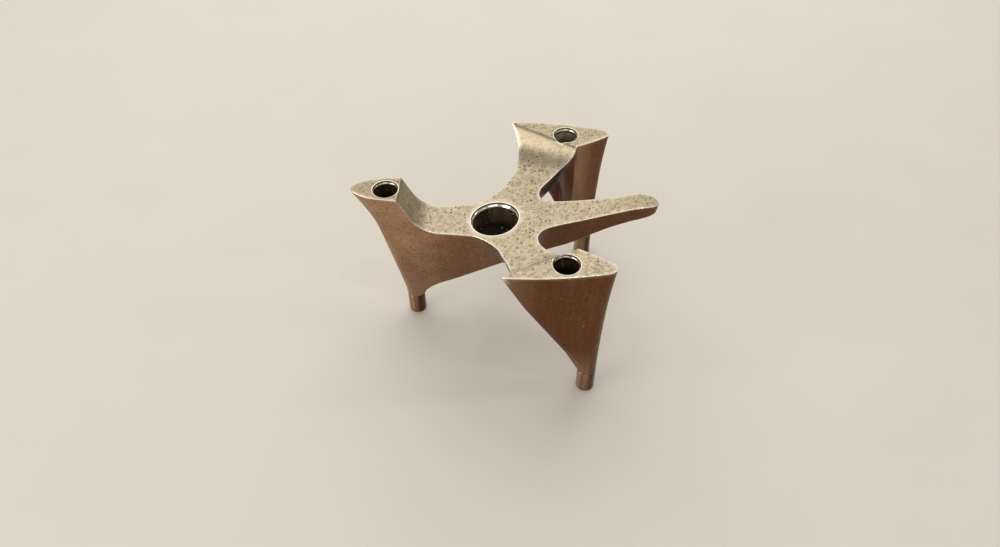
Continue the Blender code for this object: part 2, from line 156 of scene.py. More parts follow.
def fillet_rise(drop, inward):
    """Height of the hollow above the arm, with a small rounding at the head's inner edge."""
    angle = math.atan(FILLET_SLOPE)
    arc_rise = FILLET_RADIUS * (1.0 - math.cos(angle))
    arc_run = FILLET_RADIUS * math.sin(angle)
    straight = (drop - arc_rise) / FILLET_SLOPE
    if inward <= -LIP_ROUND:
        return drop
    if inward < LIP_ROUND:
        return drop - FILLET_SLOPE * (inward + LIP_ROUND) ** 2 / (4.0 * LIP_ROUND)
    if inward <= straight:
        return drop - FILLET_SLOPE * inward
    left = straight + arc_run - inward
    if left <= 0.0:
        return 0.0
    return FILLET_RADIUS - math.sqrt(FILLET_RADIUS ** 2 - left ** 2)


def inward_of_head(x, y):
    """How far a point is inward of the nearest head's inner edge, or None near the handle."""
    if x < LEFT_REGION:
        return LEFT_INNER + x
    if abs(y) > SIDE_REGION:
        return SIDE_INNER - (x * math.cos(SIDE_ANGLE) + abs(y) * math.sin(SIDE_ANGLE))
    return None


def lip_shade(x, y):
    """Strength of the painted shadow line just under a head's inner edge."""
    inward = inward_of_head(x, y)
    if inward is None or inward <= 0.0 or inward >= LIP_SHADE_WIDTH:
        return 0.0
    if inward < LIP_ROUND:
        share = inward / LIP_ROUND
    else:
        share = (LIP_SHADE_WIDTH - inward) / (LIP_SHADE_WIDTH - LIP_ROUND)
    return share * (0.3 if x < LEFT_REGION else 0.9)


def dish(x, y, centre, edge, width):
    """Depth of the shallow dish around a bore."""
    share = 1.0 - (math.dist((x, y), centre) - edge) / width
    return DISH_DEPTH * max(0.0, min(1.0, share)) ** 1.5


def top_height(x, y):
    """Height of the casting's top surface."""
    base = hub_surface(x)
    inward = inward_of_head(x, y)
    if inward is None or math.hypot(x, y) < HUB_BORE + HUB_DISH:
        return base - dish(x, y, (0.0, 0.0), HUB_BORE, HUB_DISH)
    height = base + fillet_rise(HEAD_TOP - base, inward)
    hole = LEFT_HOLE if x < LEFT_REGION else (SIDE_HOLE[0], math.copysign(SIDE_HOLE[1], y))
    return height - dish(x, y, hole, HEAD_BORE, HEAD_DISH)


def leg_face_height(along):
    """Height on the sloping inner face of a side leg, from its head down to its pin."""
    reach = SIDE_FOOT_ALONG - PIN_RADIUS - SIDE_INNER
    return HEAD_TOP - (along - SIDE_INNER) * (HEAD_TOP - PIN_TOP) / reach


class Station:
    """One point of the top edge, the point under it, and how the wall between them is shaped."""

    def __init__(self, top, under, leg=0.0, beak=0.0, corner=False, blend=FOOT_BLEND, soft=None):
        self.top = top
        self.under = under
        self.leg = leg
        self.beak = beak
        self.corner = corner
        self.blend = blend
        self.soft = soft if soft is not None else (PIN_END_ROUND if leg > 0.0 else ARM_ROUND)


def pin_point(foot, degrees):
    """A point on the rim of a leg's flat end."""
    x, y = on_circle(foot, PIN_RADIUS, degrees)
    return x, y, PIN_TOP


def arm_under(along, across):
    """A point on the lower edge of the back arm."""
    x, y = side_xy(along, across)
    return x, y, ARM_UNDER


def leg_face(along, across):
    """A point on the inner face of the back leg."""
    x, y = side_xy(along, across)
    return x, y, leg_face_height(along)


def left_stations():
    """Half of the left head and leg, then the front or back edge of the arm to the hub."""
    foot = LEFT_FOOT
    tip, tip_radius, beak = (-66.4, 0.0), 3.4, 0.28
    return [
        Station(on_circle(tip, tip_radius, 180.0), pin_point(foot, 180.0), 1.0, beak),
        Station(on_circle(tip, tip_radius, 145.0), pin_point(foot, 158.0), 1.0, beak),
        Station(on_circle(tip, tip_radius, 115.0), pin_point(foot, 140.0), 1.0, beak),
        Station((-61.8, 6.3), pin_point(foot, 118.0), 1.0, beak * 0.8),
        Station((-55.4, 7.8), pin_point(foot, 104.0), 1.0, beak * 0.5),
        Station((-46.0, 8.85), pin_point(foot, 92.0), 1.0, 0.0, True),
        Station((-42.6, 9.0), (-41.8, 4.8, 13.7), 0.8, soft=0.35),
        Station((-39.4, 9.2), (-38.6, 4.8, 16.2), 0.5, soft=0.4),
        Station((-36.4, 9.4), (-36.2, 4.9, 20.2), 0.25, soft=0.5),
        Station((-31.0, 9.8), (-30.2, 5.5, 25.2)),
        Station((-21.3, 10.6), (-20.0, 7.0, 31.7)),
        Station((-10.6, 12.0), (-9.4, 9.1, 39.4)),
        Station((-5.3, 14.4), (-3.6, 10.9, 44.3)),
        Station((-1.4, 17.7), (1.2, 13.4, 49.4)),
    ]


def side_stations():
    """The back arm, head and leg, all the way round to the handle."""
    half, foot, soft = ARM_UNDER_HALF, SIDE_FOOT, CORNER_BLEND
    return [
        Station((2.3, 21.9), (5.8, 16.8, 54.4)),
        Station((4.7, 26.6), arm_under(24.0, -half)),
        Station((7.5, 32.0), arm_under(31.0, -half)),
        Station((9.5, 38.3), arm_under(39.0, -half)),
        Station((10.0, 47.0), arm_under(48.0, -half)),
        Station((8.2, 52.0), arm_under(53.6, -half), soft=0.6),
        Station((7.0, 54.2), leg_face(56.6, -3.2), 0.3, -0.06, True),
        Station((6.3, 55.4), leg_face(58.6, 4.5), 0.8, -0.08),
        Station((7.2, 56.1), pin_point(foot, 130.0), 1.0, -0.08, True),
        Station((9.4, 56.2), pin_point(foot, 96.0), 1.0, -0.07),
        Station((21.3, 55.9), pin_point(foot, 90.0), 1.0, -0.04),
        Station((32.0, 55.0), pin_point(foot, 86.0), 1.0, 0.0, False, soft * 0.2),
        Station((43.0, 53.4), pin_point(foot, 82.0), 1.0, 0.05, False, soft * 0.5),
        Station((52.2, 51.7), pin_point(foot, 75.0), 1.0, 0.16, False, soft),
        Station((55.6, 50.0), pin_point(foot, 45.0), 1.0, 0.2, False, soft),
        Station((56.6, 47.6), pin_point(foot, 5.0), 1.0, 0.2, False, soft),
        Station((54.9, 45.3), pin_point(foot, -35.0), 1.0, 0.2, False, soft),
        Station((48.2, 40.9), pin_point(foot, -58.0), 1.0, 0.05, False, soft * 0.5),
        Station((39.7, 36.5), pin_point(foot, -75.0), 1.0, 0.0, True),
        Station((39.2, 35.3), pin_point(foot, -110.0), 1.0),
        Station((38.0, 34.2), pin_point(foot, -150.0), 0.8),
        Station((35.6, 32.8), leg_face(58.0, 8.0), 0.3),
        Station((32.8, 31.2), arm_under(54.4, half), soft=0.6),
        Station((29.7, 28.8), arm_under(46.0, half)),
        Station((26.0, 24.8), arm_under(37.4, half)),
        Station((22.9, 20.6), arm_under(29.8, half + 0.2)),
    ]


def handle_stations():
    """The back edge of the handle, out to its tip."""
    return [
        Station((21.6, 16.4), (17.6, 17.2, 54.6)),
        Station((22.6, 12.6), (18.8, 10.6, 52.2)),
        Station((25.6, 10.2), (22.6, 6.4, 52.4)),
        Station((30.5, 8.9), (29.0, 4.7, 53.8)),
        Station((37.0, 8.0), (37.5, 4.4, 57.4)),
        Station((46.0, 7.0), (46.9, 4.1, 62.9)),
        Station((55.4, 6.0), (56.3, 3.8, 68.1)),
        Station((64.5, 5.5), (65.4, 3.7, 72.3)),
        Station((69.6, 5.4), (70.2, 3.8, 74.2), soft=0.5),
        Station((74.2, 4.4), (74.4, 3.2, 75.6), soft=0.5),
        Station((77.3, 2.7), (77.0, 1.9, 76.4), soft=0.45),
        Station((78.7, 0.0), (78.0, 0.0, 76.7), soft=0.4),
    ]


# ---- samples around the outline ----------------------------------------------
def spline(p0, p1, p2, p3, t):
    """A Catmull-Rom curve from p1 to p2."""
    return tuple(
        0.5 * (2.0 * b + (c - a) * t + (2.0 * a - 5.0 * b + 4.0 * c - d) * t * t
               + (3.0 * b - a - 3.0 * c + d) * t ** 3)
        for a, b, c, d in zip(p0, p1, p2, p3))


def mirrored(values):
    """The same point on the other side of the object's plane of symmetry."""
    return (values[0], -values[1]) + tuple(values[2:])


def shares_between(here, there):
    """Where to sample between two stations: evenly, and closer together beside a corner."""
    length = max(math.dist(here.top, there.top), math.dist(here.under, there.under))
    count = max(1, math.ceil(length / SPACING))
    shares = [k / count for k in range(count)]
    for near in BESIDE_CORNER:
        if here.corner:
            shares.append(near / length)
        if there.corner:
            shares.append(1.0 - near / length)
    kept = [0.0]
    for share in sorted(shares):
        if kept[-1] + 0.06 / length < share < 1.0 - 0.06 / length:
            kept.append(share)
    return kept


def sample_half():
    """Rows of top x, y; bottom x, y, z; leg, beak, blend, soft and corner, over half the outline."""
    stations = left_stations() + side_stations() + handle_stations()
    tops = [mirrored(stations[1].top)] + [s.top for s in stations] + [mirrored(stations[-2].top)]
    unders = [mirrored(stations[1].under)] + [s.under for s in stations] + [mirrored(stations[-2].under)]
    rows = []
    for i in range(len(stations) - 1):
        here, there = stations[i], stations[i + 1]
        before = here.top if here.corner else tops[i]
        after = there.top if there.corner else tops[i + 3]
        for t in shares_between(here, there):
            top = spline(before, here.top, there.top, after, t)
            under = spline(unders[i], here.under, there.under, unders[i + 3], t)
            mixed = [a * (1.0 - t) + b * t for a, b in (
                (here.leg, there.leg), (here.beak, there.beak),
                (here.blend, there.blend), (here.soft, there.soft))]
            corner = 1.0 if here.corner and t == 0.0 else 0.0
            rows.append([*top, under[0], under[1], max(PIN_TOP, under[2]), *mixed, corner])
    end = stations[-1]
    rows.append([*end.top, *end.under, end.leg, end.beak, end.blend, end.soft, 0.0])
    return np.array(rows)


def soften_corners(rows, passes=3, reach=3):
    """Rounds the upright edges a little, by smoothing the samples beside each corner."""
    chosen = set()
    for i in np.flatnonzero(rows[:, 9] > 0.5):
        chosen.update(range(max(1, i - reach), min(len(rows) - 1, i + reach + 1)))
    chosen = sorted(chosen)
    for _ in range(passes):
        before = rows.copy()
        for i in chosen:
            rows[i, :5] = before[i, :5] * 0.5 + (before[i - 1, :5] + before[i + 1, :5]) * 0.25
    return rows


def sample_outline():
    """The whole outline, counter-clockwise from above, starting at the handle's tip."""
    half = soften_corners(sample_half())[::-1]
    other = half[1:-1][::-1].copy()
    other[:, 1] *= -1.0
    other[:, 3] *= -1.0
    return np.vstack([half, other])


def run_in(level, beak, blend):
    """How far out a leg's wall is at each level: hollow at the foot, hooked under the head."""
    soft = np.sqrt(level * level + blend ** 2) - blend
    soft = soft / (np.sqrt(1.0 + blend ** 2) - blend)
    hooked = np.maximum(0.0, (level - BEAK_FROM) / (1.0 - BEAK_FROM)) ** BEAK_POWER
    return (1.0 - beak) * soft + beak * hooked


def wall_points(rows, top_z, level):
    """A ring of wall points; level has one value for each sample, from 0 (bottom) to 1 (top)."""
    leg, beak, blend = rows[:, 5], rows[:, 6], rows[:, 7]
    across = level * (1.0 - leg) + run_in(level, beak, blend) * leg
    x = rows[:, 2] + (rows[:, 0] - rows[:, 2]) * across
    y = rows[:, 3] + (rows[:, 1] - rows[:, 3]) * across
    return np.column_stack([x, y, rows[:, 4] + (top_z - rows[:, 4]) * level])


def inset_loop(points, amounts):
    """The loop moved inwards in plan, by less where a corner is too tight for it."""
    amounts = amounts.copy()
    along = np.roll(points, -1, 0) - np.roll(points, 1, 0)
    along /= np.linalg.norm(along, axis=1)[:, None] + 1e-12
    inwards = np.column_stack([-along[:, 1], along[:, 0]])
    edges = np.roll(points, -1, 0) - points
    for _ in range(INSET_TRIES):
        moved = points + inwards * amounts[:, None]
        new_edges = np.roll(moved, -1, 0) - moved
        kept = (new_edges * edges).sum(1) / ((edges ** 2).sum(1) + 1e-12)
        bad = kept < INSET_KEEPS
        if not bad.any():
            break
        amounts[bad | np.roll(bad, 1)] *= INSET_EASE
    return points + inwards * amounts[:, None], amounts


# ---- filling the top and the underside ---------------------------------------
def distances(points, loop):
    """Distance of each point to a closed loop of straight edges."""
    ends = np.roll(loop, -1, 0)
    step = ends - loop
    length = (step ** 2).sum(1) + 1e-12
    nearest = np.full(len(points), 1e9)
    for start in range(0, len(points), CHUNK):
        part = points[start:start + CHUNK, None, :] - loop[None]
        share = np.clip((part * step).sum(2) / length, 0.0, 1.0)
        gap = part - share[:, :, None] * step
        nearest[start:start + CHUNK] = np.sqrt((gap ** 2).sum(2)).min(1)
    return nearest


def grid_over(loop, spacing):
    """A staggered grid of points over the loop's box, symmetric about y = 0."""
    low, high = loop.min(0), loop.max(0)
    rows = int(high[1] / (spacing * ROW_SHARE)) + 1
    points = []
    for j in range(-rows, rows + 1):
        shift = spacing / 2.0 if j % 2 else 0.0
        xs = np.arange(low[0] + shift, high[0], spacing)
        points.append(np.column_stack([xs, np.full(len(xs), j * spacing * ROW_SHARE)]))
    return np.vstack(points)


def lip_rows():
    """Rows of points along the heads' inner edges, where the flat top turns into the hollow."""
    points = []
    for inward in (-LIP_ROUND, -LIP_ROUND / 2.0, 0.0, LIP_ROUND / 2.0, LIP_ROUND, 0.9):
        for across in np.arange(-24.0, 24.0, 0.8):
            points.append((inward - LEFT_INNER, across))
            x, y = side_xy(SIDE_INNER - inward, across)
            points += [(x, y), (x, -y)]
    return np.array(points)


def circle_loop(centre, radius, count):
    """Evenly spaced points around a circle."""
    angles = np.arange(count) / count * math.tau
    return np.column_stack([centre[0] + radius * np.cos(angles), centre[1] + radius * np.sin(angles)])


def fill(mesh, outer, outer_verts, holes, inner, height):
    """Fills between an outline and round holes with triangles; gives the holes' rings and new verts."""
    loops = [outer] + [circle_loop(c, r, n) for c, r, n in holes]
    flat, edges = [], []
    for loop in loops:
        start = len(flat)
        flat += [Vector(p) for p in loop]
        edges += [(start + k, start + (k + 1) % len(loop)) for k in range(len(loop))]
    boundary = len(flat)
    flat += [Vector(p) for p in inner]
    verts, _, faces, sources, _, _ = delaunay_2d_cdt(flat, edges, [], 1, 1e-5)
    origin = [min(s) if s else -1 for s in sources]
    made, by_source = {}, {}

    def vert(index):
        if index not in made:
            source = origin[index]
            if 0 <= source < len(outer):
                made[index] = outer_verts[source]
            else:
                x, y = verts[index]
                made[index] = mesh.verts.new((x, y, height(x, y)))
            if 0 <= source < boundary:
                by_source[source] = made[index]
        return made[index]

    for face in faces:
        middle = sum((verts[i] for i in face), Vector((0.0, 0.0))) / len(face)
        if any(math.dist(middle, c) < r for c, r, _ in holes):
            continue
        mesh.faces.new([vert(i) for i in face])
    rings, start = [], len(outer)
    for _, _, count in holes:
        rings.append([by_source[start + k] for k in range(count)])
        start += count
    outer_set = set(outer_verts)
    fresh = [v for v in made.values() if v not in outer_set]
    return rings, fresh


def bridge(mesh, upper, lower):
    """Joins two closed rings of equal length with quads."""
    count = len(upper)
    for i in range(count):
        j = (i + 1) % count
        mesh.faces.new((upper[i], lower[i], lower[j], upper[j]))


def sink_bore(mesh, ring, centre, radius, rim_radius, floor, layer, upwards=False):
    """Closes a round hole: rounded rim, straight wall and flat floor."""
    sign = 1.0 if upwards else -1.0
    depth = rim_radius - radius
    last = ring
    for step in (0.33, 0.67, 1.0):
        r = radius + depth * (1.0 - step) ** 2
        sunk = depth * step ** 2
        new = []
        for vert in ring:
            direction = Vector((vert.co.x - centre[0], vert.co.y - centre[1])).normalized()
            x, y = centre[0] + direction.x * r, centre[1] + direction.y * r
            new.append(mesh.verts.new((x, y, vert.co.z + sign * sunk)))
        bridge(mesh, last, new)
        last = new
    bottom = [mesh.verts.new((v.co.x, v.co.y, floor)) for v in last]
    for vert in last + bottom:
        vert[layer] = 1.0
    bridge(mesh, last, bottom)
    mesh.faces.new(bottom)


def relax(verts, fixed, passes):
    """Evens out the heights of the underside between its rim and the fixed places."""
    index = {v: i for i, v in enumerate(verts)}
    loose = [v for v in verts if v not in fixed]
    around = {v: [e.other_vert(v) for e in v.link_edges] for v in loose}
    outside = {}
    for near in around.values():
        for v in near:
            if v not in index and v not in outside:
                outside[v] = len(verts) + len(outside)
    place = {**index, **outside}
    heights = np.array([v.co.z for v in verts] + [v.co.z for v in outside])
    rows = np.array([index[v] for v in loose for _ in around[v]])
    cols = np.array([place[o] for v in loose for o in around[v]])
    count = np.bincount(rows, minlength=len(heights))
    moving = count > 0
    for _ in range(passes):
        total = np.bincount(rows, weights=heights[cols], minlength=len(heights))
        heights[moving] = total[moving] / count[moving]
    for v in loose:
        v.co.z = heights[index[v]]


def under_pad(x, y):
    """Height of the thick middle of the hub's underside, and of the legs' flat ends."""
    for foot in (LEFT_FOOT, SIDE_FOOT, mirrored(SIDE_FOOT)):
        if math.dist((x, y), foot) < PIN_RADIUS - 0.05:
            return PIN_TOP
    if math.hypot(x, y) < HUB_PAD_RADIUS:
        return HUB_PAD + HUB_PAD_SLOPE * x
    return None


# ---- the casting -------------------------------------------------------------
def casting_bores():
    """Centre, radius, floor height and fineness of the four candle bores."""
    hub_floor = HUB_TOP - HUB_RECESS - HUB_CUP_DEPTH - HUB_CUP_WALL - GAP
    head_floor = HEAD_TOP - HEAD_RECESS - HEAD_CUP_DEPTH - HEAD_CUP_WALL - GAP
    bores = [((0.0, 0.0), HUB_BORE - GAP + SEAM, hub_floor, 96)]
    for hole in (LEFT_HOLE, SIDE_HOLE, mirrored(SIDE_HOLE)):
        bores.append((hole, HEAD_BORE - GAP + SEAM, head_floor, 56))
    return bores


def wall_rings(mesh, rows, wear_highlight_layer):
    """Rings from the inset top edge over its rounding, down the wall and round the bottom edge."""
    top_xy = rows[:, 0:2]
    top_z = np.array([top_height(x, y) for x, y in top_xy])
    top_edge = np.column_stack([top_xy, top_z])
    under_edge = rows[:, 2:5]
    length = np.linalg.norm(top_edge - under_edge, axis=1)
    inset, amounts = inset_loop(top_xy, np.full(len(rows), EDGE_ROUND))
    inset = np.column_stack([inset, [top_height(x, y) for x, y in inset]])
    under_in, soft = inset_loop(under_edge[:, :2], rows[:, 8])
    under_in = np.column_stack([under_in, under_edge[:, 2]])
    high, low = 1.0 - amounts / length, soft / length
    first = wall_points(rows, top_z, high)
    last = wall_points(rows, top_z, low)
    rings = []

    # painted highlight on the upper walls at the nubs, stored with the edge wear
    nub_highlight = np.hypot(top_xy[:, 0] - NUB[0], np.abs(top_xy[:, 1]) - NUB[1])
    nub_highlight = np.clip(1.6 - nub_highlight / 1.3, 0.0, 1.0)

    def add(points, value):
        ring = [mesh.verts.new(p) for p in points]
        for vert, share in zip(ring, nub_highlight):
            vert[wear_highlight_layer] = max(value, share * max(0.0, 1.0 - (HEAD_TOP - vert.co.z) / 4.5))
        rings.append(ring)

    def bend(a, corner, b, t):
        return a * (1 - t) ** 2 + 2.0 * corner * t * (1 - t) + b * t * t

    # edge wear along the rounded top edge, partly a painted highlight
    for t, value in ((0.0, 0.25), (0.25, 1.0), (0.5, 1.0), (0.75, 0.8)):
        add(bend(inset, top_edge, first, t), value)
    for k in range(WALL_STEPS + 1):
        even = k / WALL_STEPS
        share = 0.5 * even + 0.25 * (1.0 - math.cos(math.pi * even))
        add(wall_points(rows, top_z, high + (low - high) * share), 0.1 if k == 0 else 0.0)
    for t in (0.25, 0.5, 0.75, 1.0):
        add(bend(last, under_edge, under_in, t), 0.0)
    for upper, lower in zip(rings, rings[1:]):
        bridge(mesh, upper, lower)
    return rings, inset[:, :2], under_in[:, :2]


def clear_of(points, loop, gap, holes, hole_gap):
    """Points that keep clear of the outline and of the holes' rims."""
    keep = distances(points, loop) > gap
    for centre, radius, _ in holes:
        keep &= np.abs(np.hypot(points[:, 0] - centre[0], points[:, 1] - centre[1]) - radius) > hole_gap
    return points[keep]


def top_points(loop, holes):
    """Points inside the top: a grid, rows along the heads' inner edges and rings around the bores."""
    lips = lip_rows()
    far = []
    for x, y in grid_over(loop, TOP_GRID):
        inward = inward_of_head(x, y)
        if inward is None or inward < -LIP_ROUND - 0.5 or inward > 1.5:
            far.append((x, y))
    halo = [circle_loop((0.0, 0.0), holes[0][1] + step, 80) for step in HUB_RINGS]
    for centre, radius, _ in holes[1:]:
        rings = np.vstack([circle_loop(centre, radius + step, 44) for step in HEAD_RINGS])
        on_head = [p for p in rings if (inward_of_head(*p) or 0.0) < -LIP_ROUND - 0.15]
        halo.append(np.array(on_head))
    grid = clear_of(np.array(far), loop, 0.8, holes, 2.0)
    lips = clear_of(lips, loop, 0.35, holes, 0.3)
    return np.vstack([grid, lips, clear_of(np.vstack(halo), loop, 0.4, [], 0)])


def under_start(x, _):
    """Height of the underside before it is smoothed."""
    return UNDER_START + UNDER_START_SLOPE * x


def casting_mesh():
    """The closed casting with its rounded edges, four candle bores and three pin bores."""
    rows = sample_outline()
    mesh = bmesh.new()
    wear_highlight_layer = mesh.verts.layers.float.new("edge_wear_highlight")
    top_layer = mesh.verts.layers.float.new("top_face")
    bore_layer = mesh.verts.layers.float.new("in_bore")
    lip_shadow_layer = mesh.verts.layers.float.new("painted_lip_shadow")
    rings, top_loop, under_loop = wall_rings(mesh, rows, wear_highlight_layer)
    bores = casting_bores()
    holes = [(centre, radius + RIM_ROUND, count) for centre, radius, _, count in bores]
    rims, tops = fill(mesh, top_loop, rings[0], holes, top_points(top_loop, holes), top_height)
    for rim, (centre, radius, floor, _) in zip(rims, bores):
        # the bores' rims: wear and a painted highlight
        for vert in rim:
            vert[wear_highlight_layer] = 1.0
        sink_bore(mesh, rim, centre, radius, radius + RIM_ROUND, floor, bore_layer)
    for vert in tops + rings[0]:
        vert[top_layer] = 1.0
        vert[lip_shadow_layer] = lip_shade(vert.co.x, vert.co.y)

    feet = [LEFT_FOOT, SIDE_FOOT, mirrored(SIDE_FOOT)]
    pin_holes = [(foot, SHANK_RADIUS + GAP, 28) for foot in feet]
    grid = clear_of(grid_over(under_loop, UNDER_GRID), under_loop, 1.0, pin_holes, 1.0)
    extra = np.vstack([circle_loop(foot, PIN_RADIUS - FOOT_RING, 30) for foot in feet]
                      + [circle_loop((0.0, 0.0), HUB_PAD_RADIUS - 0.1, 40)])
    grid = np.array([p for p in grid
                     if all(abs(math.dist(p, foot) - PIN_RADIUS + FOOT_RING) > 0.5 for foot in feet)])
    inner = np.vstack([grid, clear_of(extra, under_loop, 0.25, [], 0)])
    pin_rims, unders = fill(mesh, under_loop, rings[-1], pin_holes, inner, under_start)
    fixed = set()
    for vert in unders:
        pad = under_pad(vert.co.x, vert.co.y)
        if pad is not None:
            vert.co.z = pad
            fixed.add(vert)
    relax(unders, fixed, RELAX_PASSES)
    for rim, (foot, radius, _) in zip(pin_rims, pin_holes):
        sink_bore(mesh, rim, foot, radius, radius, PIN_TOP + SHANK_LENGTH + GAP, bore_layer, True)
    bmesh.ops.recalc_face_normals(mesh, faces=mesh.faces[:])
    return mesh


def hub_x():
    """The hub's axis in the row frame, from the CAD model's hub cup."""
    low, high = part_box("center_candle_cup")
    return (low.x + high.x) / 2.0


def add_piece(name, mesh, finish, node, smooth_angle):
    """Makes a mesh the piece that stands for a CAD node."""
    data = bpy.data.meshes.new(name)
    mesh.to_mesh(data)
    mesh.free()
    data.shade_smooth()
    data.set_sharp_from_angle(angle=math.radians(smooth_angle))
    data.materials.append(finish)
    piece = bpy.data.objects.new(name, data)
    bpy.context.scene.collection.objects.link(piece)
    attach(piece, "root")
    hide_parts(node)
    return piece


def add_casting(finish):
    """Places the casting so that its hub is on the axis of the CAD model's hub cup."""
    mesh = casting_mesh()
    bmesh.ops.scale(mesh, vec=(MM, MM, MM), verts=mesh.verts[:])
    bmesh.ops.translate(mesh, vec=(hub_x(), 0.0, 0.0), verts=mesh.verts[:])
    return add_piece("casting", mesh, finish, "body_casting", 60.0)


# ---- turned pieces -----------------------------------------------------------
def arc(centre, radius, start, end, steps):
    """Profile points on an arc, angles in degrees from straight outwards, counter-clockwise."""
    return [on_circle(centre, radius, start + (end - start) * k / steps) for k in range(steps + 1)]


def turned_mesh(profile, count):
    """A closed turned solid from a (radius, height) profile that starts and ends on the axis."""
    mesh = bmesh.new()
    rings = []
    for r, z in profile:
        if r < 1e-6:
            rings.append([mesh.verts.new((0.0, 0.0, z))])
            continue
        angles = [math.tau * k / count for k in range(count)]
        rings.append([mesh.verts.new((r * math.cos(a), r * math.sin(a), z)) for a in angles])
    for upper, lower in zip(rings, rings[1:]):
        for i in range(count):
            j = (i + 1) % count
            if len(upper) == 1:
                mesh.faces.new((upper[0], lower[i], lower[j]))
            elif len(lower) == 1:
                mesh.faces.new((upper[i], lower[0], upper[j]))
            else:
                mesh.faces.new((upper[i], lower[i], lower[j], upper[j]))
    bmesh.ops.recalc_face_normals(mesh, faces=mesh.faces[:])
    return mesh


def cup_profile(bore, depth, wall, lip):
    """A drawn cup with a sloping lip round its mouth and a well rounded floor."""
    outer = bore - GAP
    width, drop = lip
    inner = outer - width
    under = -depth - wall
    inside = arc((inner - CUP_FLOOR_ROUND, -depth + CUP_FLOOR_ROUND), CUP_FLOOR_ROUND, -90, 0, 8)
    outside = arc((outer - CUP_OUTER_ROUND, under + CUP_OUTER_ROUND), CUP_OUTER_ROUND, 0, -90, 5)
    lip_foot = [(inner, -drop - 0.35), (inner + 0.02, -drop - 0.12), (inner + 0.08, -drop)]
    rim = [(outer - 0.16, -0.06), (outer - 0.08, 0.0), (outer - 0.02, -0.04), (outer, -0.14)]
    return ([(0.0, -depth), (inner * 0.4, -depth)] + inside + [(inner, -CUP_MIDDLE)] + lip_foot
            + rim + [(outer, -CUP_MIDDLE)] + outside + [(0.0, under)])


def pin_profile():
    """A foot pin: softened floor edge, straight side, narrow shoulder and shank."""
    top = PIN_TOP - PIN_SEAM
    end = top + SHANK_LENGTH
    edge = arc((PIN_RADIUS - PIN_FLOOR_ROUND, PIN_FLOOR_ROUND), PIN_FLOOR_ROUND, -90, 0, 6)
    shoulder = arc((PIN_RADIUS - PIN_SHOULDER_ROUND, top - PIN_SHOULDER_ROUND), PIN_SHOULDER_ROUND,
                   0, 90, 3)
    return ([(0.0, 0.0), (2.0, 0.0)] + edge + [(PIN_RADIUS, 4.0), (PIN_RADIUS, 9.0)] + shoulder
            + [(SHANK_RADIUS, top), (SHANK_RADIUS, end - SHANK_CHAMFER)]
            + [(SHANK_RADIUS - SHANK_CHAMFER, end), (0.0, end)])


def add_turned(name, profile, count, node, rim, finish, lean=0.0, lean_depth=1.0):
    """A turned piece on the axis of a CAD node; its rim can follow a sloping surface."""
    mesh = turned_mesh(profile, count)
    for vert in mesh.verts:
        share = max(0.0, min(1.0, 1.0 + vert.co.z / (lean_depth * LEAN_REACH)))
        vert.co.z += lean * vert.co.x * share
    low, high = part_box(node)
    bmesh.ops.scale(mesh, vec=(MM, MM, MM), verts=mesh.verts[:])
    middle = (low + high) / 2.0
    bmesh.ops.translate(mesh, vec=(middle.x, middle.y, rim), verts=mesh.verts[:])
    return add_piece(name, mesh, finish, node, 40.0)


